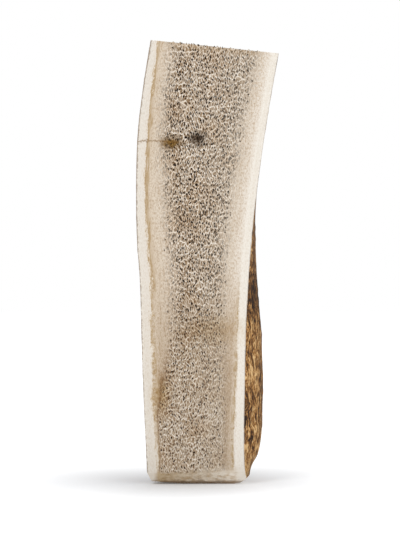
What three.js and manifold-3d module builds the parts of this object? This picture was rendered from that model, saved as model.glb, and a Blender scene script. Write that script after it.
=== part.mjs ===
// A split elk antler: a 178 mm length of an elk's main beam, sawn down its length and across both ends,
// standing on its lower cut. It grew as one piece of bone, so it is one solid. The sawn face is flat: dense
// bone runs along both of its sides, and the spongy core between them is open in pits. All the rest is bark,
// the outer surface that grew with long furrows and low knobs. It swells out beside the face near the foot.
//
// Millimetres, +Z up the beam. The sawn face looks along -Y, X runs across it, and the origin is at the
// centre of the bounding box's underside. Until the last step, X is counted from a plumb line near the
// middle of the face, Y from the face into the antler, and Z from the surface that it stands on.

import * as THREE from "three";
import { mergeVertices } from "three/addons/utils/BufferGeometryUtils.js";
import Module from "manifold-3d";

// The beam before its top is cut, and the grid of points that draws its outside
const BEAM_LENGTH = 183;
const COLUMNS = 44;
const ROWS = 76;
const CROWDING = 1.3; // above 1, the rows lie closer together towards the foot

// The beam's shape as [height, size] pairs. First, the x of the sawn face's two edges
const LEFT_EDGE = [
  [0, -20.9], [22, -22.2], [50, -23.3], [82, -24.1], [98, -25.2], [130, -25.3], [146, -24.4], [183, -18.9],
];
const RIGHT_EDGE = [
  [0, 18.6], [8, 17.8], [34, 17.8], [66, 18.5], [98, 20.6], [130, 24.4], [158, 28.8], [183, 33.4],
];

// How deep the antler is behind the face, and how far right of the middle it is deepest
const DEPTH = [[0, 20.2], [10, 22.6], [30, 25.4], [66, 25.6], [110, 23.6], [150, 23.2], [183, 24.6]];
const LEAN = [[0, 1.5], [40, 3.5], [90, 0.5], [140, -2.5], [183, -3.5]];

// How far the bark swells out past the face's right edge, and at what angle round the back it does so most
const SWELLING = [
  [0, 1.4], [6, 3.2], [12, 6.6], [20, 8.4], [34, 8.8], [50, 8.1],
  [66, 7.0], [82, 4.9], [98, 2.4], [112, 0.8], [183, 0.5],
];
const SWELLING_ANGLE = 0.46;

// The bark's long waves, its furrows and its knobs; a count is how many there are round the bark
const WAVES = { height: 0.55, length: 46, twist: 1.4 };
const FURROWS = [
  { count: 7, depth: 0.42, sway: 0.035, wander: 61, phase: 0.4 },
  { count: 12, depth: 0.3, sway: -0.05, wander: 37, phase: 2.1 },
];
const KNOBS = { count: 8.5, height: 0.34, length: 19, drift: 0.032, slant: 1.3 };

// The saw cut across the top, as its left corner on the face and how steeply it falls
const TOP_CORNER = [-19.7, 0, 177.8];
const TOP_FACING = [0.104, 0.035, 1];

// The foot's bark edge is rounded off, and its face and corners are sanded to flats through a point
const FOOT_ROUNDING = { inset: 2.2, height: 3.4 };
const SANDED = [
  { through: [0, 0, 4.2], facing: [0, -1, -0.34] },
  { through: [0, 0.5, 1.6], facing: [0, -0.55, -1] },
  { through: [-7, 0, 0], facing: [-0.1, 0, -1] },
  { through: [14, 0, 0], facing: [0.22, 0, -1] },
  { through: [-20.5, 0, 3.4], facing: [-1, 0, -0.5] },
  { through: [18.9, 0, 2.6], facing: [0.8, 0, -1] },
];

// The widest pores of the core, each an open pit in the sawn face between the two margins of dense bone
const PITS = {
  count: 150,
  leftMargin: 10.5,
  rightMargin: 8.5,
  heights: [8, 168],
  halfWidth: [0.42, 0.62],
  halfLength: [0.7, 1.35],
  depth: [0.7, 1.3],
  tilt: 0.7,
};

// The pits are spread evenly by the steps of a low-discrepancy sequence, and then moved a little by chance
const SPREAD = { across: 0.7549, up: 0.5698 };
const JITTER = { across: 0.15, up: 0.03 };
const HASH = { index: 12.9898, use: 78.233, spread: 43758.5453 };

const BONE = new THREE.MeshStandardMaterial({ color: 0xb5a491, roughness: 0.72, metalness: 0 });

const wasm = await Module();
wasm.setup();

// A smooth curve through [height, size] pairs, as a function of height
function along(pairs) {
  const heights = pairs.map(([height]) => height);
  const sizes = pairs.map(([, size]) => size);
  const curve = new THREE.CubicInterpolant(heights, sizes, 1);
  return (height) => curve.evaluate(height)[0];
}

const leftEdge = along(LEFT_EDGE);
const rightEdge = along(RIGHT_EDGE);
const depth = along(DEPTH);
const lean = along(LEAN);
const swelling = along(SWELLING);

// A wave that repeats once in each unit of its argument
function wave(turns, phase = 0) {
  return Math.sin(2 * Math.PI * turns + phase);
}

// Rises from 0 at the face to 1 at the swelling's angle, and fades out round the back
function swellingShare(angle) {
  const share = angle / SWELLING_ANGLE;
  return share * Math.exp(1 - share);
}

// How far the bark stands out at an angle round the back and a height
function barkRelief(angle, height) {
  const round = angle / Math.PI;
  let relief = WAVES.height * wave(height / WAVES.length, WAVES.twist * angle);
  for (const furrow of FURROWS) {
    const sway = furrow.sway * Math.sin(height / furrow.wander + furrow.phase);
    relief -= furrow.depth * wave(furrow.count * (round + sway), furrow.phase);
  }
  const knobsRound = wave(KNOBS.count * round, KNOBS.drift * height);
  const knobsUp = wave(height / KNOBS.length, KNOBS.slant * angle);
  return relief + KNOBS.height * knobsRound * knobsUp;
}

// How far the rounded foot is drawn in at a height
function footInset(height) {
  const below = Math.max(0, 1 - height / FOOT_ROUNDING.height);
  return FOOT_ROUNDING.inset * (1 - Math.sqrt(1 - below ** 2));
}

// The point of the outside at an angle round the back, from the face's right edge (0) to its left edge (pi)
function outsidePoint(angle, height) {
  const left = leftEdge(height);
  const right = rightEdge(height);
  const back = Math.sin(angle);
  const across = ((right - left) / 2) * Math.cos(angle) + lean(height) * back ** 2;
  const relief = barkRelief(angle, height) * back - footInset(height);
  return new THREE.Vector3(
    (left + right) / 2 + across + swelling(height) * swellingShare(angle) + relief * Math.cos(angle),
    (depth(height) + relief) * back,
    height,
  );
}

// Half of a round beam, stretched to the antler's own outline at each height
function halfBeam() {
  const halfRound = new THREE.Shape();
  halfRound.absarc(0, 0, 1, 0, Math.PI, false);
  const beam = new THREE.ExtrudeGeometry(halfRound, {
    depth: 1,
    steps: ROWS,
    curveSegments: COLUMNS / 2,
    bevelEnabled: false,
  });
  const position = beam.getAttribute("position");
  const unit = new THREE.Vector3();
  for (let i = 0; i < position.count; i++) {
    unit.fromBufferAttribute(position, i);
    const angle = Math.atan2(Math.max(unit.y, 0), unit.x);
    const point = outsidePoint(angle, BEAM_LENGTH * unit.z ** CROWDING);
    position.setXYZ(i, point.x, point.y, point.z);
  }
  return beam;
}

// A closed geometry as a solid
function solidOf(geometry) {
  const bare = geometry.index ? geometry.toNonIndexed() : geometry.clone();
  bare.deleteAttribute("normal");
  bare.deleteAttribute("uv");
  const merged = mergeVertices(bare);
  return new wasm.Manifold(new wasm.Mesh({
    numProp: 3,
    vertProperties: new Float32Array(merged.getAttribute("position").array),
    triVerts: new Uint32Array(merged.index.array),
  }));
}

// A solid as a geometry
function geometryOf(solid) {
  const { vertProperties, triVerts } = solid.getMesh();
  const geometry = new THREE.BufferGeometry();
  geometry.setAttribute("position", new THREE.BufferAttribute(new Float32Array(vertProperties), 3));
  geometry.setIndex(new THREE.BufferAttribute(new Uint32Array(triVerts), 1));
  return geometry;
}

// The block that a saw or a sander takes away beyond a flat through a point, facing a direction
function offcut(through, facing) {
  const size = 2 * BEAM_LENGTH;
  const block = new THREE.BoxGeometry(size, size, size).translate(0, 0, size / 2);
  const up = new THREE.Vector3(0, 0, 1);
  const turn = new THREE.Quaternion().setFromUnitVectors(up, new THREE.Vector3(...facing).normalize());
  return solidOf(block.applyQuaternion(turn).translate(...through));
}

// A number from 0 to 1 that looks like chance, and is the same each time for an index and a use
function chance(index, use) {
  const turned = HASH.spread * Math.sin(HASH.index * index + HASH.use * use);
  return THREE.MathUtils.euclideanModulo(turned, 1);
}

// One wide pore: a long eight-sided hollow that opens at the face
function pit(index) {
  const { lerp } = THREE.MathUtils;
  const size = chance(index, 1);
  const across = (index * SPREAD.across + JITTER.across * chance(index, 2)) % 1;
  const up = (index * SPREAD.up + JITTER.up * chance(index, 3)) % 1;
  const height = lerp(...PITS.heights, up);
  const left = leftEdge(height) + PITS.leftMargin;
  const right = rightEdge(height) - PITS.rightMargin;
  const hollow = new THREE.OctahedronGeometry(1);
  hollow.scale(lerp(...PITS.halfWidth, size), lerp(...PITS.depth, 1 - size), lerp(...PITS.halfLength, size));
  hollow.rotateY(lerp(-PITS.tilt, PITS.tilt, chance(index, 4)));
  hollow.translate(lerp(left, right, across), 0, height);
  return solidOf(hollow);
}

// The antler's geometry, with its origin at the centre of its underside
function splitAntler() {
  let antler = solidOf(halfBeam()).subtract(offcut(TOP_CORNER, TOP_FACING));
  for (const { through, facing } of SANDED) antler = antler.subtract(offcut(through, facing));
  for (let index = 1; index <= PITS.count; index++) antler = antler.subtract(pit(index));
  const geometry = geometryOf(antler).toNonIndexed();
  geometry.computeBoundingBox();
  const { min, max } = geometry.boundingBox;
  geometry.translate(-(min.x + max.x) / 2, -(min.y + max.y) / 2, -min.z);
  geometry.computeVertexNormals();
  return geometry;
}

const antler = new THREE.Mesh(splitAntler(), BONE);
antler.name = "split_antler";

const part = new THREE.Group();
part.add(antler);

export default part;
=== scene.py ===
# %% [markdown]
# A split elk antler
#
# The object is a length of an elk's main beam, sawn in half along its length and cut across at both ends.
# It grew as one piece of bone: a rim of dense white bone round a grey, spongy core, inside a brown bark. The
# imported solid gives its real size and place. This lesson makes the same form again as one fine mesh, opens
# the core's pores in it, furrows its bark, and gives the bone and the bark procedural materials.

# %% Load the solid that gives the size and place
import math

import bpy
import numpy as np
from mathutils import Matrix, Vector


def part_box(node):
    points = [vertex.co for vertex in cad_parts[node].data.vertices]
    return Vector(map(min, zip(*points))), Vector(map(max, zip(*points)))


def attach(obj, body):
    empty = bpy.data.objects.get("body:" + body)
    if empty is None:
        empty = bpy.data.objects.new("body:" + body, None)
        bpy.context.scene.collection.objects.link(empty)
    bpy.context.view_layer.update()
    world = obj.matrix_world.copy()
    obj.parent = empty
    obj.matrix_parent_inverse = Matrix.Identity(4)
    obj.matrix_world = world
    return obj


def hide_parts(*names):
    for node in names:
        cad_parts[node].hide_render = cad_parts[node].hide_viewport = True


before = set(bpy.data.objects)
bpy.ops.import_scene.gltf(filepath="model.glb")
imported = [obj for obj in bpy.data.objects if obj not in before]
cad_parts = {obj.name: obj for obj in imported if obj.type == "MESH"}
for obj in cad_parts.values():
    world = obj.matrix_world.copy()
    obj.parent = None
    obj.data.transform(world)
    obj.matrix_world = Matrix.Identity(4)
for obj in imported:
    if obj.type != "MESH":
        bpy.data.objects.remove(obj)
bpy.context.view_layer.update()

MM = 0.001
NODE = "split_antler"
low, high = (np.array(corner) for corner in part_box(NODE))
print("solid's size in mm:", ((high - low) / MM).round(1))

# %% [markdown]
# The camera
#
# The antler was seen square to its sawn face, from about half its height, so neither its top nor its foot
# shows. A long lens from 0.8 m keeps the edges nearly parallel. The frame is as high as 213 mm at the face.

# %% Place the camera
CAMERA_DISTANCE = 800 * MM
FRAME_HEIGHT = 213.2 * MM
CAMERA_ACROSS = -2.97 * MM
CAMERA_HEIGHT = 87.2 * MM
SENSOR_HEIGHT = 24

camera_data = bpy.data.cameras.new("camera")
camera_data.sensor_fit = "VERTICAL"
camera_data.sensor_height = SENSOR_HEIGHT
camera_data.lens = SENSOR_HEIGHT * CAMERA_DISTANCE / FRAME_HEIGHT
camera = bpy.data.objects.new("camera", camera_data)
camera.location = (CAMERA_ACROSS, low[1] - CAMERA_DISTANCE, CAMERA_HEIGHT)
camera.rotation_euler = (math.radians(90), 0, 0)
bpy.context.scene.collection.objects.link(camera)
bpy.context.scene.camera = camera
print("lens in mm:", round(camera_data.lens, 1))

# %% [markdown]
# Nodes and colours
#
# Every material below is a graph of nodes. One small function adds a node, sets it up and joins it to the
# nodes before it, so that a graph reads from top to bottom. Colours are written as the screen shows them,
# and turned into the linear light that Blender works in.

# %% Two helpers for all materials
def linear(hex_colour):
    """A screen colour such as "C59F6F" as linear red, green, blue and alpha."""
    channels = [int(hex_colour[i : i + 2], 16) / 255 for i in (0, 2, 4)]
    return [c / 12.92 if c <= 0.04045 else ((c + 0.055) / 1.055) ** 2.4 for c in channels] + [1]


def node(tree, kind, *values, output=None, stops=(), **settings):
    """Adds a node, and gives the output that is named, or else its first one.

    Values fill its inputs in their order, with numbers or with other nodes' outputs. Settings are inputs or
    properties by their names, and stops are the places and colours of a ramp.
    """
    made = tree.nodes.new("ShaderNode" + kind)
    filled = []
    for name, value in settings.items():
        if name in made.inputs:
            filled.append((made.inputs[name], value))
        else:
            setattr(made, name, value)
    filled += zip([socket for socket in made.inputs if socket.enabled], values)
    for socket, value in filled:
        if isinstance(value, bpy.types.NodeSocket):
            tree.links.new(value, socket)
        else:
            socket.default_value = value
    if stops:
        ramp = made.color_ramp
        while len(ramp.elements) < len(stops):
            ramp.elements.new(0.5)
        for element, (position, colour) in zip(ramp.elements, stops):
            element.position = position
            element.color = linear(colour)
    return made.outputs[output] if output else next(socket for socket in made.outputs if socket.enabled)


# %% [markdown]
# Floor and light
#
# The antler stands on a white sweep under soft studio light: a wide softbox in front and above to the left,
# a weaker one on the right, and one behind so that the bark isn't left dark. The floor gives a little light
# of its own, which keeps the sweep white, and least by the foot, where this paints a soft shadow.

# %% Make the floor
FLOOR_SIZE = 6.0
# The floor's own light grows outwards, from the first strength to the second over this reach. It is weakest
# by the foot, so that it paints a soft shadow there
GLOW_WITH_PAINTED_SHADOW = {"reach": (10 * MM, 80 * MM), "strength": (0.06, 0.62)}
# The painted shadow is deepest left of the foot, to match the key light's real shadow on the right
PAINTED_SHADOW_MIDDLE = (-12 * MM, 0, 0)

bpy.ops.object.select_all(action="DESELECT")
bpy.ops.mesh.primitive_plane_add(size=FLOOR_SIZE, location=(0, 0, 0))
floor = bpy.context.object
floor.name = "floor"
bpy.ops.object.transform_apply(location=True, scale=True)

paper = bpy.data.materials.new("white paper sweep with painted shadow")
paper.use_nodes = True
tree = paper.node_tree
paper_shader = tree.nodes["Principled BSDF"]
paper_shader.inputs["Base Color"].default_value = linear("F1F3F6")
paper_shader.inputs["Roughness"].default_value = 0.9
paper_shader.inputs["Emission Color"].default_value = linear("FFFFFF")
here = node(tree, "TexCoord", output="Object")
from_middle = node(tree, "VectorMath", here, PAINTED_SHADOW_MIDDLE, operation="DISTANCE")
# The glow is weakest near its middle, which paints a soft shadow on the floor round the foot
glow_with_painted_shadow = node(tree, "MapRange", from_middle, *GLOW_WITH_PAINTED_SHADOW["reach"], *GLOW_WITH_PAINTED_SHADOW["strength"])
tree.links.new(glow_with_painted_shadow, paper_shader.inputs["Emission Strength"])
floor.data.materials.append(paper)

# %% Make the lights
def softbox(name, place, size, watts):
    """A square lamp that faces the middle of the antler."""
    data = bpy.data.lights.new(name, "AREA")
    data.shape = "SQUARE"
    data.size = size
    data.energy = watts
    lamp = bpy.data.objects.new(name, data)
    lamp.location = place
    middle = (low + high) / 2
    aim = middle - np.array(place)
    lamp.rotation_euler = (
        math.atan2(math.hypot(aim[0], aim[1]), -aim[2]),
        0,
        math.atan2(aim[1], aim[0]) - math.pi / 2,
    )
    bpy.context.scene.collection.objects.link(lamp)


softbox("key", place=(-0.7, -1.0, 1.0), size=0.6, watts=5)
softbox("fill", place=(0.9, -0.9, 0.5), size=0.8, watts=2)
softbox("back", place=(0.3, 1.1, 0.9), size=0.8, watts=3)
print("lamps:", [lamp.name for lamp in bpy.data.lights])

# %% Surround it with a white studio
STUDIO_LIGHT = 0.45  # what reaches the antler, while the camera sees the studio as full white

world = bpy.data.worlds.new("studio")
world.use_nodes = True
tree = world.node_tree
background = tree.nodes["Background"]
background.inputs["Color"].default_value = linear("FFFFFF")
seen = node(tree, "LightPath", output="Is Camera Ray")
strength = node(tree, "MapRange", seen, 0, 1, STUDIO_LIGHT, 1)
tree.links.new(strength, background.inputs["Strength"])
bpy.context.scene.world = world
bpy.context.scene.view_settings.view_transform = "Standard"

# %% [markdown]
# The antler's outline
#
# A section of the antler is a D: its straight side is the sawn face, and its round side is the bark. Each
# size of the D changes smoothly with height, so each is a curve through a few measured places, in
# millimetres. X is counted here from a plumb line near the middle of the face, and Y from the face into the
# antler.

# %% Measured sizes, as pairs of height and size
LEFT_EDGE = [
    (0, -20.9), (22, -22.2), (50, -23.3), (82, -24.1), (98, -25.2), (130, -25.3), (146, -24.4), (183, -18.9),
]
RIGHT_EDGE = [(0, 18.6), (8, 17.8), (34, 17.8), (66, 18.5), (98, 20.6), (130, 24.4), (158, 28.8), (183, 33.4)]
DEPTH = [(0, 20.2), (10, 22.6), (30, 25.4), (66, 25.6), (110, 23.6), (150, 23.2), (183, 24.6)]
LEAN = [(0, 1.5), (40, 3.5), (90, 0.5), (140, -2.5), (183, -3.5)]
SWELLING = [
    (0, 1.4), (6, 3.2), (12, 6.6), (20, 8.4), (34, 8.8), (50, 8.1),
    (66, 7.0), (82, 4.9), (98, 2.4), (112, 0.8), (183, 0.5),
]
SWELLING_ANGLE = 0.46


def along(pairs):
    """A smooth curve through pairs of height and size, as a function of height."""
    heights, sizes = np.array(pairs, float).T
    rises = np.diff(sizes) / np.diff(heights)
    slopes = np.concatenate([rises[:1], (rises[:-1] + rises[1:]) / 2, rises[-1:]])

    def curve(height):
        i = np.clip(np.searchsorted(heights, height) - 1, 0, len(rises) - 1)
        span = heights[i + 1] - heights[i]
        t = (height - heights[i]) / span
        start = (1 + 2 * t) * (1 - t) ** 2 * sizes[i] + t * (1 - t) ** 2 * span * slopes[i]
        end = t**2 * (3 - 2 * t) * sizes[i + 1] - t**2 * (1 - t) * span * slopes[i + 1]
        return start + end

    return curve


left_edge, right_edge, depth, lean, swelling = (
    along(pairs) for pairs in (LEFT_EDGE, RIGHT_EDGE, DEPTH, LEAN, SWELLING)
)
for height in (10, 90, 170):
    print("at", height, "mm the face is", (right_edge(height) - left_edge(height)).round(1), "mm wide")

# %% The bark's own waves, furrows and knobs
# Heights, depths and lengths are in millimetres, and a count is how many there are round the bark
WAVES = {"height": 0.55, "length": 46, "twist": 1.4}
FURROWS = [
    {"count": 7, "depth": 0.42, "sway": 0.035, "wander": 61, "phase": 0.4},
    {"count": 12, "depth": 0.3, "sway": -0.05, "wander": 37, "phase": 2.1},
]
KNOBS = {"count": 8.5, "height": 0.34, "length": 19, "drift": 0.032, "slant": 1.3}
FOOT_ROUNDING = {"inset": 2.2, "height": 3.4}


def wave(turns, phase=0.0):
    """A wave that repeats once in each unit of turns."""
    return np.sin(2 * math.pi * turns + phase)


def bark_relief(angle, height):
    """How far the bark stands out at an angle round the back, from the face's right edge to its left."""
    round_back = angle / math.pi
    relief = WAVES["height"] * wave(height / WAVES["length"], WAVES["twist"] * angle)
    for furrow in FURROWS:
        sway = furrow["sway"] * np.sin(height / furrow["wander"] + furrow["phase"])
        relief = relief - furrow["depth"] * wave(furrow["count"] * (round_back + sway), furrow["phase"])
    knobs_round = wave(KNOBS["count"] * round_back, KNOBS["drift"] * height)
    knobs_up = wave(height / KNOBS["length"], KNOBS["slant"] * angle)
    return relief + KNOBS["height"] * knobs_round * knobs_up


def outside(angle, height):
    """X and Y of the antler's outside at an angle round the back and a height."""
    left, right, back = left_edge(height), right_edge(height), np.sin(angle)
    below = np.clip(1 - height / FOOT_ROUNDING["height"], 0, 1)
    inset = FOOT_ROUNDING["inset"] * (1 - np.sqrt(1 - below**2))
    relief = bark_relief(angle, height) * back - inset
    share = angle / SWELLING_ANGLE
    swell = swelling(height) * share * np.exp(1 - share)
    across = (right - left) / 2 * np.cos(angle) + lean(height) * back**2
    x = (left + right) / 2 + across + swell + relief * np.cos(angle)
    return np.stack([x, (depth(height) + relief) * back])


# %% [markdown]
# A block, cut into a fine lattice
#
# A cube is added at the solid's own size and place, and its edges are subdivided one direction at a time.
# That gives an even lattice of small squares on all six sides. The front will become the sawn face, the back
# and the two sides the bark, and the ends the saw cuts. A lattice is a good start here, because every point
# of it knows its share of the width, the depth and the height.

# %% Add the block
bpy.ops.object.select_all(action="DESELECT")
bpy.ops.mesh.primitive_cube_add(size=1, location=(low + high) / 2, scale=high - low)
antler = bpy.context.object
antler.name = "antler"
bpy.ops.object.transform_apply(location=True, rotation=False, scale=True)


# %% Slice it
def read(collection, field, size, kind=np.float64):
    """A field of a mesh's points, edges or faces as an array."""
    values = np.empty(len(collection) * size, kind)
    collection.foreach_get(field, values)
    return values.reshape(-1, size) if size > 1 else values


def slice_block(axis, cuts):
    """Subdivides the edges that run along an axis, each with that many cuts."""
    mesh = antler.data
    points = read(mesh.vertices, "co", 3)
    ends = read(mesh.edges, "vertices", 2, np.int32)
    step = np.abs(points[ends[:, 0]] - points[ends[:, 1]])
    for collection in (mesh.vertices, mesh.polygons):
        collection.foreach_set("select", np.zeros(len(collection), bool))
    mesh.edges.foreach_set("select", step.argmax(axis=1) == axis)
    bpy.ops.object.mode_set(mode="EDIT")
    bpy.ops.mesh.subdivide(number_cuts=cuts)
    bpy.ops.object.mode_set(mode="OBJECT")


# Each pass turns every square into so many, in a row along X (0), Y (1) or Z (2)
PASSES = [(2, 25), (2, 25), (0, 14), (0, 15), (1, 40)]

bpy.context.tool_settings.mesh_select_mode = (False, True, False)
for axis, parts in PASSES:
    slice_block(axis, parts - 1)
print("points in the lattice:", len(antler.data.vertices))

# %% [markdown]
# Pressing the block to the antler's form
#
# Each point of the lattice has a share from 0 to 1 across, in depth and in height. A section's four sides
# are known from those shares, and the points between them are blended from the sides, as in a patch of cloth
# that is held at its whole edge. The saw cut at the top and the sanded flats at the foot give how high each
# column of the lattice starts and ends.

# %% Give every lattice point its place
# Each flat cut is a point that it goes through, and the direction that it faces
TOP_CORNER = (-19.7, 0, 177.8)
TOP_FACING = (0.104, 0.035, 1)
SANDED = [
    {"through": (0, 0, 4.2), "facing": (0, -1, -0.34)},
    {"through": (0, 0.5, 1.6), "facing": (0, -0.55, -1)},
    {"through": (-7, 0, 0), "facing": (-0.1, 0, -1)},
    {"through": (14, 0, 0), "facing": (0.22, 0, -1)},
    {"through": (-20.5, 0, 3.4), "facing": (-1, 0, -0.5)},
    {"through": (18.9, 0, 2.6), "facing": (0.8, 0, -1)},
]
# The squares across the back and down both sides share the half turn round the bark
ACROSS, DEEP = (math.prod(parts for axis, parts in PASSES if axis == way) for way in (0, 1))
SIDE_TURN = math.pi * DEEP / (ACROSS + 2 * DEEP)
# A slanting flat's height depends on the place, and the place on the height, so both settle in rounds
ROUNDS = 4


def blend(start, end, share):
    """From start to end by a share from 0 to 1."""
    return start + (end - start) * share


def flat_height(through, facing, place):
    """How high a slanting flat lies at a place."""
    run = facing[0] * (place[0] - through[0]) + facing[1] * (place[1] - through[1])
    return through[2] - run / facing[2]


def section(s, t, height):
    """X and Y of a point in a section, at its shares across and in depth."""
    corner_left, corner_right = (outside(a, height) for a in (math.pi - SIDE_TURN, SIDE_TURN))
    edge_left, edge_right = (outside(a, height) for a in (math.pi, 0.0))
    face = blend(edge_left, edge_right, s)
    back = outside(blend(math.pi - SIDE_TURN, SIDE_TURN, s), height)
    left = outside(math.pi - SIDE_TURN * t, height)
    right = outside(SIDE_TURN * t, height)
    corners = blend(blend(edge_left, edge_right, s), blend(corner_left, corner_right, s), t)
    return blend(face, back, t) + blend(left, right, s) - corners


unit = (read(antler.data.vertices, "co", 3) - low) / (high - low)
s, t, w = unit.T
foot = np.zeros_like(s)
top = np.full_like(s, TOP_CORNER[2])
for _ in range(ROUNDS):
    place = section(s, t, foot)
    foot = np.max([np.zeros_like(s)] + [flat_height(**flat, place=place) for flat in SANDED], axis=0)
    top = flat_height(TOP_CORNER, TOP_FACING, section(s, t, top))
z = blend(foot, top, w)
x, y = section(s, t, z)

# %% Know which side of the antler each point is on
NEAR = 1e-4

on_face = t < NEAR
on_top = w > 1 - NEAR
on_foot = w < NEAR
on_bark = ~on_face & ~on_top & ~on_foot
angle = np.select(
    [s < NEAR, s > 1 - NEAR],
    [math.pi - SIDE_TURN * t, SIDE_TURN * t],
    blend(math.pi - SIDE_TURN, SIDE_TURN, s),
)
# Where each point is from side to side, from -1 to 1, and how far in from the bark
half_width = (right_edge(z) - left_edge(z)) / 2
side = (x - (left_edge(z) + right_edge(z)) / 2) / half_width
inset = (1 - np.hypot(side, y / depth(z))) * half_width
sides = {"face": on_face, "top": on_top, "foot": on_foot, "bark": on_bark}
print("points on each side:", {name: int(on.sum()) for name, on in sides.items()})

# %% [markdown]
# Chance, in patterns
#
# Bone grows by rules, but no two pores are alike. The patterns below need numbers that look like chance and
# are the same at every run. They come from the whole-number cell that a point lies in. Noise blends them
# smoothly between cells, and scattered dots put one dot in each cell.

# %% Two kinds of pattern
# Large odd numbers, which scatter the bits of what they multiply
SCATTER = {"i": 374761393, "j": 668265263, "use": 974634777, "all": 1274126177}


def chance(i, j, use):
    """A number from 0 to 1 for each pair of whole numbers and each use."""
    cell = i.astype(np.int64) * SCATTER["i"] + j.astype(np.int64) * SCATTER["j"]
    mixed = cell + use * SCATTER["use"]
    mixed = (mixed ^ (mixed >> 13)) * SCATTER["all"] & 0xFFFFFFFF
    return ((mixed ^ (mixed >> 16)) & 0xFFFFFF) / 0xFFFFFF


def noise(u, v, use, octaves=1):
    """Smooth noise from about -1 to 1 that changes over about one unit of u and v."""
    total, weight = 0.0, 0.0
    for octave in range(octaves):
        scale, share = 2.0**octave, 0.5**octave
        i, j = np.floor(u * scale), np.floor(v * scale)
        fade_u, fade_v = (f * f * (3 - 2 * f) for f in (u * scale - i, v * scale - j))
        seed = use * 16 + octave
        lower = blend(chance(i, j, seed), chance(i + 1, j, seed), fade_u)
        upper = blend(chance(i, j + 1, seed), chance(i + 1, j + 1, seed), fade_u)
        total = total + share * (2 * blend(lower, upper, fade_v) - 1)
        weight += share
    return total / weight


def dots(u, v, use, jitter=(0.9, 0.9)):
    """One dot in each unit cell: the distance to the nearest one, and that one's own number from 0 to 1."""
    i, j = np.floor(u), np.floor(v)
    nearest = np.full_like(u, 9.0)
    number = np.zeros_like(u)
    for di in (-1, 0, 1):
        for dj in (-1, 0, 1):
            a, b = i + di, j + dj
            du = a + 0.5 + jitter[0] * (chance(a, b, use) - 0.5) - u
            dv = b + 0.5 + jitter[1] * (chance(a, b, use + 1) - 0.5) - v
            distance = np.hypot(du, dv)
            closer = distance < nearest
            number = np.where(closer, chance(a, b, use + 2), number)
            nearest = np.where(closer, distance, nearest)
    return nearest, number


def rise(value, start, end):
    """0 below start, 1 above end, and a smooth step between."""
    share = np.clip((value - start) / (end - start), 0, 1)
    return share * share * (3 - 2 * share)


# %% [markdown]
# The core's pores
#
# The spongy core is a mesh of thin plates round small hollows, and the saw has cut it open. The hollows are
# longer up the antler than across it, and they drift into slanting rows. So dots are scattered in a space
# that is stretched and bent, and each dot sinks a pit: most are shallow, and some are deep. They are widest
# a little above the middle of the height, and there are none in the dense rim. The rim is thin at the left
# of the foot and ends sharply there. Further up it is wider, and the core begins gradually.

# %% Where the dense rim ends and the core begins
# Each is a distance in from the bark, as pairs of height and distance
GROWTH_LINE = {
    "left": [
        (12, 5.2), (22, 4.6), (50, 5.0), (66, 4.6), (82, 5.3), (98, 4.9), (114, 4.0), (146, 4.4), (170, 3.6),
    ],
    "right": [(12, 4.6), (22, 4.4), (50, 3.6), (98, 3.8), (170, 3.4)],
}
CORE_EDGE = {
    "left": [
        (12, 5.4), (30, 5.6), (45, 8.5), (58, 11), (78, 12.4), (98, 12.6), (110, 12), (131, 10.2), (170, 8.4),
    ],
    "right": [(12, 7.4), (37, 7.2), (58, 8.0), (78, 9.0), (98, 9.8), (131, 9.2), (151, 8.7), (170, 7.9)],
}
CORE_BLEND = {
    "left": [(0, 0.9), (30, 1.0), (45, 2.4), (60, 4.0), (178, 4.2)],
    "right": [(0, 2.6), (40, 3.0), (70, 4.0), (178, 4.2)],
}


def by_side(curves):
    """The curve of the side that each point is on, at the point's height."""
    return np.where(side < 0, along(curves["left"])(z), along(curves["right"])(z))


rim = inset / by_side(GROWTH_LINE)
core_edge, core_blend = by_side(CORE_EDGE), by_side(CORE_BLEND)
ragged = inset + 0.3 * core_blend * noise(x / 1.6, z / 3.5, use=9, octaves=2)
core = rise(ragged, core_edge - 0.85 * core_blend, core_edge + 1.1 * core_blend)
print("points in the core:", np.count_nonzero(core > 0.5))

# %% Open the small pores
PORE_ACROSS = 1.2
PORE_ALONG = 1.6
# How coarse the pores are, as pairs of height and share
COARSE = [(0, 0.75), (60, 0.78), (76, 0.95), (100, 1.1), (140, 1.0), (178, 0.9)]


def pore_pattern(x, z):
    """How deep the bone is hollowed out at a place on a saw cut, in millimetres."""
    bend_x = 1.8 * noise(x / 9, z / 12, use=1) + 0.4 * noise(x / 3, z / 5, use=2)
    bend_z = 1.6 * noise(x / 8, z / 11, use=3)
    across, along_antler = (x + bend_x) / PORE_ACROSS, (z + bend_z) / PORE_ALONG
    nearest, number = dots(across, along_antler, use=5, jitter=(0.5, 0.85))
    coarse = along(COARSE)(z)
    size = (0.07 + 0.17 * number**2) * coarse
    pit = 1 - rise(nearest, 0.5 * size, 1.3 * size + 0.02)
    return pit * (0.08 + 0.62 * number**3) * coarse


# The sanded strip along the foot is low on the left and high on the right, with an uneven upper edge
sanded_height = blend(0.8, 4.5, rise(x, -12, 14)) * (1 + 0.5 * noise(x / 3, z / 2, use=8, octaves=2))
above_foot = rise(z - foot, 0.0, sanded_height)
sanded = np.where(on_foot, 1 - rise(y, 1.5, 4.0), np.where(on_face, 1 - above_foot, 0.0))
on_ends = pore_pattern(x, 1.5 * y) * np.where(on_foot, 0.4, 1.0)
pore_depth = np.where(on_face, pore_pattern(x, z) * rise(top - z, 0.1, 0.8), on_ends)
pore_depth = np.where(on_bark, 0, pore_depth * rise(core, 0.05, 0.6) * (1 - sanded))
print("deepest small pore in mm:", pore_depth.max().round(2))

# %% Open the 150 widest pores, where the solid has its pits
WIDE_PORES = 150
WIDE_MARGINS = {"left": 10.5, "right": 8.5, "foot": 8, "top": 168}
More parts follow.
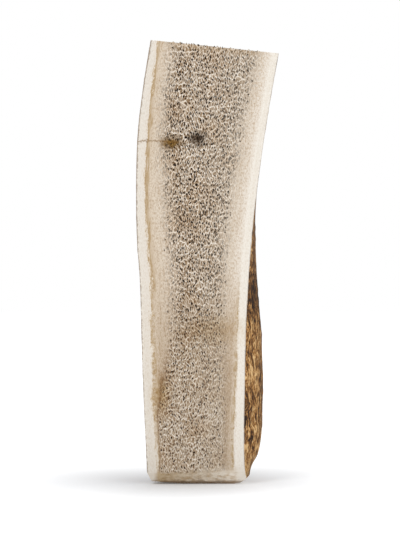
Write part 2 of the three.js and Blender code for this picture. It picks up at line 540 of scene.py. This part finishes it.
# The solid draws each as a wider pit with eight sides, and here it has its real size and is round
WIDE_SIZES = {"half_width": (0.22, 0.34), "half_length": (0.4, 0.75), "depth": (0.5, 0.75), "tilt": 0.7}
SPREAD = {"across": 0.7549, "up": 0.5698}
JITTER = {"across": 0.15, "up": 0.03}
HASH = {"index": 12.9898, "use": 78.233, "spread": 43758.5453}
WIDE_REACH = 2  # no wide pore reaches further than this from its middle


def pit_chance(index, use):
    """The solid's own chance number for a pit."""
    return HASH["spread"] * np.sin(HASH["index"] * index + HASH["use"] * use) % 1


for index in range(1, WIDE_PORES + 1):
    share = pit_chance(index, 1)
    across = (index * SPREAD["across"] + JITTER["across"] * pit_chance(index, 2)) % 1
    up = (index * SPREAD["up"] + JITTER["up"] * pit_chance(index, 3)) % 1
    pit_z = blend(WIDE_MARGINS["foot"], WIDE_MARGINS["top"], up)
    pit_x = blend(left_edge(pit_z) + WIDE_MARGINS["left"], right_edge(pit_z) - WIDE_MARGINS["right"], across)
    tilt = blend(-WIDE_SIZES["tilt"], WIDE_SIZES["tilt"], pit_chance(index, 4))
    nearby = (np.abs(x - pit_x) < WIDE_REACH) & (np.abs(z - pit_z) < WIDE_REACH)
    close = np.flatnonzero(on_face & nearby)
    dx, dz = x[close] - pit_x, z[close] - pit_z
    wide = (dx * math.cos(tilt) - dz * math.sin(tilt)) / blend(*WIDE_SIZES["half_width"], share)
    long = (dx * math.sin(tilt) + dz * math.cos(tilt)) / blend(*WIDE_SIZES["half_length"], share)
    hollow = blend(*WIDE_SIZES["depth"], 1 - share) * (1 - rise(np.hypot(wide, long), 0.35, 1.15))
    pore_depth[close] = np.maximum(pore_depth[close], hollow)
print("points inside a pore:", np.count_nonzero(pore_depth > 0.1))

# %% [markdown]
# The bark
#
# Blood vessels of the velvet left long furrows in the bark, and between them it is drawn out in fine ridges
# with small beads. The wide furrows are in the outline already. Here come the fine ones, as noise that is
# squeezed across and stretched along the antler. The same relief is kept for the material, because ridges
# are rubbed pale and furrows stay dark.

# %% Furrow the bark
BARK_RADIUS = 23.0  # its mean, which turns an angle into millimetres round the back
RELIEF = {"ridges": 0.20, "fine ridges": 0.12, "beads": 0.30}

around = angle * BARK_RADIUS
drifted = around + 1.2 * noise(around / 14, z / 22, use=20)
ridges = 1 - 2 * np.abs(noise(drifted / 1.7, z / 13, use=21, octaves=2))
fine_ridges = 1 - 2 * np.abs(noise(drifted / 0.8, z / 6, use=22, octaves=2))
bead, bead_size = dots(drifted / 2.6, z / 4.2, use=23)
beads = (1 - rise(bead, 0.1, 0.45)) * rise(bead_size, 0.45, 1.0)
taper = 0.35 + 0.65 * np.sin(angle)
ridge = RELIEF["ridges"] * ridges + RELIEF["fine ridges"] * fine_ridges + RELIEF["beads"] * beads
stand_out = np.where(on_bark | (on_face & ((s < NEAR) | (s > 1 - NEAR))), ridge * taper, 0)

# %% [markdown]
# Traces of the saw and the sander
#
# Sanding the foot pushed two small burrs of soft bone under its front edge, and the saw tore short splinters
# from the core where it came through at the top. All of them are less than a millimetre high, but they break
# up two edges that are seen against white. So they move the points of the foot and of the top.

# %% Leave two small burrs where the sander rounded the foot
BURRS = [{"x": 4.0, "radius": 1.3, "drop": 0.7}, {"x": 10.5, "radius": 1.0, "drop": 0.5}]

burr = sum(b["drop"] * np.exp(-(((x - b["x"]) / b["radius"]) ** 2) - (y / 1.5) ** 2) for b in BURRS)
print("deepest burr in mm:", burr.max().round(2))
z = np.where(on_foot, np.maximum(z - burr * rise(z, 0.0, 1.0) * (1 - rise(z, 1.6, 3.0)), 0), z)

# %% Leave splinters where the saw came through at the top
SPLINTER = 0.6  # the longest one
SPLINTERED = 0.9  # how far back from the face they stand

from_top = top - z
splinters = SPLINTER * rise(noise(x / 0.45, y / 0.6, use=25), 0.3, 0.9) * core
splinters = np.where(on_top & (y < SPLINTERED), splinters, 0)
z = z + splinters
print("longest splinter in mm:", splinters.max().round(2))

# %% [markdown]
# Writing the mesh and thinning it
#
# All that was worked out above now moves the block's points. What the materials need to know of each point
# is kept with it as an attribute: how far in from the bark it lies, how much of it is core, how deep its
# pore is, and so on. An even lattice has more triangles than the form needs, so a Decimate modifier takes
# them out where the surface is nearly flat, and carries the attributes along.

# %% Move the points and write the mesh
SAW_MARKS = 0.02  # how deep the saw left its marks

cut_depth = pore_depth + SAW_MARKS * noise(x / 0.7, z / 0.9 + y, use=30)
x = x + stand_out * np.cos(angle)
y = y + stand_out * np.sin(angle) + np.where(on_face, cut_depth, 0)
z = z - np.where(on_top, cut_depth, 0) + np.where(on_foot, pore_depth, 0)

# The plumb line's X in the frame: the solid's lowest X is where its left edge goes furthest out
origin_x = low[0] / MM - left_edge(np.linspace(60, 150, 400)).min()
placed = np.stack([x + origin_x, y + low[1] / MM, z], axis=1) * MM
antler.data.vertices.foreach_set("co", placed.ravel())
fields = {
    "inset": inset, "rim": rim, "core": core, "side": side, "pore": pore_depth, "sanded": sanded,
    "from_top": np.where(on_top, 4.0, from_top),
    "ridge": ridge + 0.25 * bark_relief(angle, z),
    "around": around,
}
for name, values in fields.items():
    antler.data.attributes.new(name, "FLOAT", "POINT").data.foreach_set("value", values.astype(np.float32))
antler.data.update()
print("form's size in mm:", (np.ptp(placed, axis=0) / MM).round(1))

# %% Tell sawn faces from bark faces
SAWN, BARK = 0, 1  # the places of the two materials, which are added below in this order

corners = read(antler.data.loops, "vertex_index", 1, np.int32)
starts = read(antler.data.polygons, "loop_start", 1, np.int32)
corners = corners[starts[:, None] + np.arange(4)]
sawn = on_face[corners].all(1) | on_top[corners].all(1) | on_foot[corners].all(1)
antler.data.polygons.foreach_set("material_index", np.where(sawn, SAWN, BARK).astype(np.int32))
print("sawn faces:", sawn.sum(), "of", len(sawn))

# %% Thin the mesh and smooth its shading
MOST_TRIANGLES = 190_000
SHARP_DEGREES = 40

triangles = 2 * len(antler.data.polygons)
decimate = antler.modifiers.new("thin", "DECIMATE")
decimate.ratio = MOST_TRIANGLES / triangles
decimate.use_collapse_triangulate = True
bpy.ops.object.modifier_apply(modifier="thin")
bpy.ops.object.shade_smooth_by_angle(angle=math.radians(SHARP_DEGREES))
print("triangles before and after:", triangles, len(antler.data.polygons))

# %% [markdown]
# The sawn bone
#
# Across the sawn face the bone changes in bands that follow its edges: a thin line of bark, dense white
# bone, a tan line where the growth paused, streaky cream bone, and the grey-brown core. It is bone, so its
# IOR is about 1.55, it has no metal, and a saw left it matt. The material reads the place in millimetres and
# the attributes of the mesh.

# %% Make the material of the sawn bone
# A Mix node that mixes two colours by a share, plainly or by multiplying the second into the first
MIXED = {"data_type": "RGBA"}
MULTIPLIED = {"data_type": "RGBA", "blend_type": "MULTIPLY"}

bone = bpy.data.materials.new("sawn antler bone")
bone.use_nodes = True
tree = bone.node_tree
bone_shader = tree.nodes["Principled BSDF"]
bone_shader.inputs["IOR"].default_value = 1.55
bone_shader.inputs["Roughness"].default_value = 0.8
bone_shader.inputs["Specular IOR Level"].default_value = 0.2
antler.data.materials.append(bone)

here = node(tree, "TexCoord", output="Object")
here_mm = node(tree, "VectorMath", here, operation="SCALE", Scale=1 / MM)
across_mm, depth_mm, up_mm = node(tree, "SeparateXYZ", here_mm).node.outputs
inset_mm, rim_share, core_share, pore_mm, sanding, which_side, from_top_mm = (
    node(tree, "Attribute", attribute_name=name, output="Fac")
    for name in ("inset", "rim", "core", "pore", "sanded", "side", "from_top")
)
mottle = node(tree, "TexNoise", here_mm, Scale=0.7, Detail=4.0, Roughness=0.6)

# %% [markdown]
# The rim's colour
#
# The rim's bands are a colour ramp on the distance in from the bark, counted in growth-line distances. The
# tan line runs the whole height on the left, but only the lower half on the right, so there are two ramps,
# with the line and without it. Noise that is stretched along the antler moves the bands a little and lays
# streaks in the cream bone, and fine clouds break up what is left.

# %% Lay the rim's bands
LINE_ENDS = (70, 86)  # the heights between which the tan line fades out on the right

streak_place = node(tree, "CombineXYZ", inset_mm, which_side, up_mm)
streak_place = node(tree, "Mapping", streak_place, Scale=(1.2, 2.0, 0.15))
streak = node(tree, "TexNoise", streak_place, Scale=1.0, Detail=4.0, Roughness=0.6)
cloud_place = node(tree, "Mapping", here_mm, Scale=(2.0, 2.0, 1.0))
clouds = node(tree, "TexNoise", cloud_place, Scale=1.0, Detail=2.0, Roughness=0.8)
rim_uneven = rim_share
for pattern, start, end, wobble in ((streak, 0.2, 0.8, 0.3), (clouds, 0.25, 0.75, 0.12)):
    moved = node(tree, "MapRange", pattern, start, end, -wobble, wobble)
    rim_uneven = node(tree, "Math", rim_uneven, moved, operation="ADD")
bands = node(tree, "MapRange", rim_uneven, 0, 2, 0, 1)
lined = node(tree, "ValToRGB", bands, stops=[
    (0, "E9E2D7"), (0.38, "E8DFD3"), (0.44, "D3BFA2"), (0.48, "B1946C"), (0.53, "C5AF90"), (0.62, "DDCEBA"),
    (1.0, "E1D4C3"),
])
plain = node(tree, "ValToRGB", bands, stops=[
    (0, "EDE6DB"), (0.22, "DED2C0"), (0.35, "EFE7DB"), (0.6, "EBE1D4"), (1.0, "E2D6C6"),
])
is_right = node(tree, "MapRange", which_side, -0.1, 0.1, 0, 1)
broken_line = node(tree, "MapRange", mottle, 0.45, 0.6, 0, 0.5)
is_plain = node(tree, "MapRange", up_mm, *LINE_ENDS, broken_line, is_right)
rim_colour = node(tree, "Mix", is_plain, lined, plain, **MIXED)

# %% Whiten, streak and cloud the rim, and draw the thin line of bark at its edge
whitest = node(tree, "MapRange", is_right, 0, 1, 0, 0.7)
white = node(tree, "MapRange", rim_share, 0.7, 0.95, whitest, 0)
rim_colour = node(tree, "Mix", white, rim_colour, linear("F6F0E6"), **MIXED)
most_streaked = node(tree, "MapRange", is_right, 0, 1, 0.5, 0.25)
streaked = node(tree, "MapRange", streak, 0.5, 0.68, 0, most_streaked)
streaked = node(tree, "MapRange", rim_share, 0.9, 1.3, 0, streaked)
rim_colour = node(tree, "Mix", streaked, rim_colour, linear("D2BDA0"), **MULTIPLIED)
most_cloudy = node(tree, "MapRange", rim_share, 0.7, 1.4, 0.25, 0.7)
cloudy = node(tree, "MapRange", clouds, 0.46, 0.62, 0, most_cloudy)
rim_colour = node(tree, "Mix", cloudy, rim_colour, linear("CFBBA0"), **MULTIPLIED)
inner = node(tree, "MapRange", rim_share, 1.05, 1.5, 0, 1)
inner_low = node(tree, "MapRange", up_mm, 45, 85, inner, 0)
rim_colour = node(tree, "Mix", inner_low, rim_colour, linear("DFD5C9"), **MULTIPLIED)
line_width = node(tree, "MapRange", mottle, 0.35, 0.65, 0.25, 0.9)
left_line = node(tree, "MapRange", inset_mm, 0.05, line_width, 0.95, 0)
right_line = node(tree, "MapRange", inset_mm, 0.05, 0.4, 0.4, 0)
bark_line = node(tree, "MapRange", is_right, 0, 1, left_line, right_line)
rim_colour = node(tree, "Mix", bark_line, rim_colour, linear("80664A"), **MIXED)

# %% [markdown]
# The core's colour
#
# Between the pores that the mesh has, the cut core is a maze of pale plates round dark hollows that are much
# finer than the mesh. So the maze is painted, from flat patterns of cells: the cells' edges are plates, and
# their middles are hollows, whose darkness is painted shade. Real hollows are mostly 0.2 to 0.5 mm wide, too
# fine to show at this size, so the pattern is drawn two to three times as coarse. The same maze makes the
# core a little rough by a bump.

# %% Lay out the core's patterns of cells
# The cells' sizes in millimetres, across and along the antler, and how far noise bends their rows
PLATE_SIZE = (0.8, 2.2)
HOLLOW_SIZE = (0.5, 1.4)
PORE_SIZE = (0.85, 1.6)
BEND = (4, 1, 0)
# Depth counts as height here, so that the maze goes on over the edges onto the top and the foot
DEPTH_AS_HEIGHT = -1.3


def cells(tree, place, size, feature="F1"):
    """The outputs of a flat pattern of cells, of a size in millimetres across and along the antler."""
    scaled = node(tree, "Mapping", place, Scale=(1 / size[0], 1 / size[1], 1))
    pattern = node(tree, "TexVoronoi", scaled, voronoi_dimensions="2D", feature=feature, Scale=1.0)
    return pattern.node.outputs


along_cut = node(tree, "Math", depth_mm, DEPTH_AS_HEIGHT, up_mm, operation="MULTIPLY_ADD")
cut_place = node(tree, "CombineXYZ", across_mm, along_cut)
warp = node(tree, "TexNoise", here_mm, Scale=0.17, Detail=1.0, output="Color")
bent = node(tree, "VectorMath", warp, BEND, cut_place, operation="MULTIPLY_ADD")
plates = cells(tree, bent, PLATE_SIZE, "DISTANCE_TO_EDGE")
hollows = cells(tree, bent, HOLLOW_SIZE)
pores = cells(tree, bent, PORE_SIZE)
hollow_number, pore_number = (
    node(tree, "SeparateColor", pattern["Color"], output="Red") for pattern in (hollows, pores)
)
speckle_place = node(tree, "Mapping", bent, Scale=(2.8, 1.3, 1))
speckle = node(tree, "TexNoise", speckle_place, Scale=1.0, Detail=1.0)
patches = node(tree, "TexNoise", here_mm, Scale=0.09, Detail=3.0)

# %% Paint the core as a fine maze of thin plates round hollows
# Over these heights the maze gets more open: the painted shade in its pores gets darker, and its plates
# stand out more
OPENING = (62, 84)

open_dark = node(tree, "MapRange", patches, 0.35, 0.6, 1.5, 3.2)
darkest = node(tree, "MapRange", up_mm, *OPENING, 0.8, open_dark)
pore_dark = node(tree, "MapRange", pore_number, 0.35, 0.95, 0, darkest)
hollow_dark = node(tree, "MapRange", hollow_number, 0, 1, 0, 0.36)
plate_pale = node(tree, "MapRange", up_mm, *OPENING, 0.33, 0.46)
# It starts as soft speckle, and each pattern lightens or darkens it. It is painted a little paler towards
# the foot, as painted light that makes up for the shade near the floor
maze = node(tree, "MapRange", speckle, 0.25, 0.75, 0.29, 0.6)
for operation, change in (
    # Painted light towards the foot
    ("ADD", node(tree, "MapRange", up_mm, 10, 60, 0.08, 0)),
    ("ADD", node(tree, "MapRange", plates["Distance"], 0.04, 0.22, plate_pale, 0)),
    ("ADD", node(tree, "MapRange", pores["Distance"], 0.3, 0.5, 0.1, 0)),
    ("SUBTRACT", node(tree, "MapRange", hollows["Distance"], 0.1, 0.4, hollow_dark, 0)),
    ("SUBTRACT", node(tree, "MapRange", pores["Distance"], 0.21, 0.32, pore_dark, 0)),
):
    maze = node(tree, "Math", maze, change, operation=operation)
core_colour = node(tree, "ValToRGB", maze, stops=[
    (0.0, "231204"), (0.25, "6F5133"), (0.45, "9E866B"), (0.62, "B9A58C"), (0.95, "F6ECDF"),
])
tan_patches = node(tree, "MapRange", patches, 0.45, 0.7, 0, 0.5)
core_colour = node(tree, "Mix", tan_patches, core_colour, linear("DDC8AC"), **MULTIPLIED)
pale_right = node(tree, "MapRange", which_side, 0, 0.6, 0, 0.25)
core_colour = node(tree, "Mix", pale_right, core_colour, linear("D2C6B4"), **MIXED)

# %% [markdown]
# Marks on the face
#
# A fine crack runs in from the left edge, with an ochre stain at its end and a dark spot beside that. Low on
# the left is a brown patch, and a fainter one lies in the middle. A brown seam follows the core's edge in
# the lower part. Each stain is multiplied into the colour, so that the maze still shows through it. The pores
# that the mesh has are darkened with painted shade, darker than their shallow pits make them.

# %% Join rim and core, with the seam and the stains
MARKS = [
    {"at": (-0.9, 138.2), "size": (4.8, 3.9), "colour": "73675B"},
    {"at": (-11.4, 136.6), "size": (5.6, 3.6), "colour": "9C8047"},
    {"at": (-15.8, 35.5), "size": (4.4, 9.5), "colour": "E4D5B8"},
    {"at": (6.0, 62.0), "size": (14.0, 7.0), "colour": "EDE4D5"},
]
RAGGEDNESS = 1.2  # how far the mottle moves a stain's edge, as a share of the stain's size
SEAM_ENDS = (35, 60)  # the heights between which the seam fades out


def stain(tree, at, size):
    """How much of a stain is seen at a place on the sawn face: 1 in its middle, and 0 outside."""
    centre = (at[0] + origin_x, 0, at[1])
    offset = node(tree, "VectorMath", here_mm, centre, operation="SUBTRACT")
    offset = node(tree, "VectorMath", offset, (1 / size[0], 0, 1 / size[1]), operation="MULTIPLY")
    distance = node(tree, "VectorMath", offset, operation="LENGTH")
    ragged = node(tree, "Math", mottle, RAGGEDNESS, distance, operation="MULTIPLY_ADD")
    return node(tree, "MapRange", ragged, 0.9, 1.7, 1, 0)


sawn_colour = node(tree, "Mix", core_share, rim_colour, core_colour, **MIXED)
seam_colour = node(tree, "ValToRGB", core_share, stops=[
    (0.1, "FFFFFF"), (0.5, "BFA684"), (0.95, "FFFFFF"),
])
seam = node(tree, "MapRange", which_side, -0.1, 0.1, 0.7, 0.2)
seam = node(tree, "MapRange", up_mm, *SEAM_ENDS, seam, 0)
sawn_colour = node(tree, "Mix", seam, sawn_colour, seam_colour, **MULTIPLIED)
for mark in MARKS:
    stained = stain(tree, mark["at"], mark["size"])
    sawn_colour = node(tree, "Mix", stained, sawn_colour, linear(mark["colour"]), **MULTIPLIED)

# %% Draw the crack, and paint shade into the pores
CRACK = {"height": 137.3, "sway": 1.0, "fade": (-13.0, -5.0), "half_width": 0.5, "colour": "85612F"}

crack_low, crack_high = CRACK["height"] - CRACK["sway"], CRACK["height"] + CRACK["sway"]
crack_path = node(tree, "MapRange", mottle, 0.2, 0.8, crack_low, crack_high)
off_crack = node(tree, "Math", up_mm, crack_path, operation="SUBTRACT")
off_crack = node(tree, "Math", off_crack, operation="ABSOLUTE")
fade_start, fade_end = (origin_x + place for place in CRACK["fade"])
cracked = node(tree, "MapRange", across_mm, fade_start, fade_end, 0.75, 0)
cracked = node(tree, "MapRange", off_crack, 0, CRACK["half_width"], cracked, 0)
sawn_colour = node(tree, "Mix", cracked, sawn_colour, linear(CRACK["colour"]), **MIXED)
# Painted shade in the pores that the mesh has, darker than their shallow pits make it
painted_pore_shade = node(tree, "MapRange", pore_mm, 0.15, 0.5, 0, 0.7)
sawn_colour = node(tree, "Mix", painted_pore_shade, sawn_colour, linear("27180B"), **MIXED)

# %% [markdown]
# The sanded foot and the dusty top
#
# Sanding rubbed bone dust into the pores along the foot and left that strip smooth: tan on the left, nearly
# white on the right, and brown along the lowest edge, where the brown is partly painted shade under the
# rounded foot. Just below the top edge the core caught brown dust from the saw. Both are laid over the
# colours so far, by attributes that fade up from the foot and down from the top.

# %% Paint the foot
smear_place = node(tree, "Mapping", here_mm, Scale=(0.4, 0.4, 1.0))
smear = node(tree, "TexNoise", smear_place, Scale=1.0, Detail=4.0)
to_the_right = node(tree, "MapRange", across_mm, -20, 14, 0, 1)
sanded_colour = node(tree, "Mix", to_the_right, linear("BDA684"), linear("EEE5D8"), **MIXED)
smeared = node(tree, "MapRange", smear, 0.4, 0.65, 0, 0.7)
sanded_colour = node(tree, "Mix", smeared, sanded_colour, linear("CBB491"), **MULTIPLIED)
near_bark = node(tree, "MapRange", inset_mm, 2.5, 4.5, 0.8, 0)
sanded_colour = node(tree, "Mix", near_bark, sanded_colour, linear("E9E1D5"), **MIXED)
# The brown along the lowest edge is partly dust and partly painted shade where the foot rounds under
edge_height = node(tree, "MapRange", mottle, 0.3, 0.7, 1.2, 2.4)
lowest_edge_dust_and_shade = node(tree, "MapRange", up_mm, 0.9, edge_height, 0.85, 0)
sanded_colour = node(tree, "Mix", lowest_edge_dust_and_shade, sanded_colour, linear("7E6141"), **MIXED)
sawn_colour = node(tree, "Mix", sanding, sawn_colour, sanded_colour, **MIXED)

# %% Paint the top edge, and join the material
dust_reach = node(tree, "MapRange", mottle, 0.3, 0.7, 1.5, 4.0)
dusty = node(tree, "MapRange", from_top_mm, 0.4, dust_reach, 0.55, 0)
dusty = node(tree, "MapRange", core_share, 0, 1, 0, dusty)
sawn_colour = node(tree, "Mix", dusty, sawn_colour, linear("BFA482"), **MIXED)
tree.links.new(sawn_colour, bone_shader.inputs["Base Color"])

core_bump = node(tree, "Math", maze, core_share, operation="MULTIPLY")
bump = node(tree, "Bump", Height=core_bump, Strength=0.8, Distance=0.3 * MM)
tree.links.new(bump, bone_shader.inputs["Normal"])
print("nodes in the sawn bone's material:", len(tree.nodes))

# %% [markdown]
# The bark's finish
#
# Sap, blood and soil stained the bark brown while the antler was on the animal, and rubbing on trees
# polished the ridges pale again. So the colour follows the relief, with fine dark and light streaks along
# the antler in it. It is palest next to the sawn face, and a little darker further up.

# %% Make the material of the bark, and lay out its grain and fibres
bark = bpy.data.materials.new("weathered antler bark")
bark.use_nodes = True
tree = bark.node_tree
bark_shader = tree.nodes["Principled BSDF"]
bark_shader.inputs["IOR"].default_value = 1.55
bark_shader.inputs["Roughness"].default_value = 0.65
bark_shader.inputs["Specular IOR Level"].default_value = 0.25
antler.data.materials.append(bark)

here = node(tree, "TexCoord", output="Object")
here_mm = node(tree, "VectorMath", here, operation="SCALE", Scale=1 / MM)
up_mm = node(tree, "SeparateXYZ", here_mm, output="Z")
round_mm, ridge_mm = (
    node(tree, "Attribute", attribute_name=name, output="Fac") for name in ("around", "ridge")
)
# The pattern lies on the bark as on a sheet that is rolled round it, and noise shifts it a little
sheet = node(tree, "CombineXYZ", X=round_mm, Z=up_mm)
swirl = node(tree, "TexNoise", here_mm, Scale=0.12, Detail=2.0, output="Color")
sheet = node(tree, "VectorMath", swirl, (2.5, 0, 1), sheet, operation="MULTIPLY_ADD")
grain_place = node(tree, "Mapping", sheet, Scale=(2.5, 2.5, 0.24))
grain = node(tree, "TexNoise", grain_place, Scale=1.0, Detail=3.0, Roughness=0.8)
grain = node(tree, "MapRange", grain, 0.25, 0.75, 0.1, 0.9)
fibre_place = node(tree, "Mapping", sheet, Scale=(1.0, 1.0, 0.06))
fibres = node(tree, "TexNoise", fibre_place, Scale=1.0, Detail=2.0)
fibres = node(tree, "MapRange", fibres, 0.3, 0.7, -0.1, 0.1)

# %% Colour the bark by its relief
PALE_STRIP = (5, 0.5)  # how far from the sawn face the bark starts to pale, and where it is palest
RIDGE_SHARE = 0.2

by_height = node(tree, "MapRange", up_mm, 40, 75, -0.04, -0.13)
half_round = math.pi * BARK_RADIUS / 2
from_back = node(tree, "Math", round_mm, half_round, operation="SUBTRACT")
from_back = node(tree, "Math", from_back, operation="ABSOLUTE")
pale_start, pale_end = (half_round - width for width in PALE_STRIP)
pale = node(tree, "MapRange", from_back, pale_start, pale_end, 0, 0.07)
relief = node(tree, "Math", ridge_mm, RIDGE_SHARE, grain, operation="MULTIPLY_ADD")
for change in (fibres, by_height, pale):
    relief = node(tree, "Math", relief, change, operation="ADD")
bark_colour = node(tree, "ValToRGB", relief, stops=[
    (0.33, "2A1808"), (0.43, "5E3C1D"), (0.51, "885D30"), (0.59, "BA8547"), (0.7, "E8C28A"),
])
tree.links.new(bark_colour, bark_shader.inputs["Base Color"])
bump = node(tree, "Bump", Height=grain, Strength=0.9, Distance=0.6 * MM)
tree.links.new(bump, bark_shader.inputs["Normal"])
print("nodes in the bark's material:", len(tree.nodes))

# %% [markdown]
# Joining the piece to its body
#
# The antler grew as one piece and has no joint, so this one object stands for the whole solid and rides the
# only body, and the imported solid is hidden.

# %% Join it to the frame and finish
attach(antler, "root")
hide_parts(NODE)
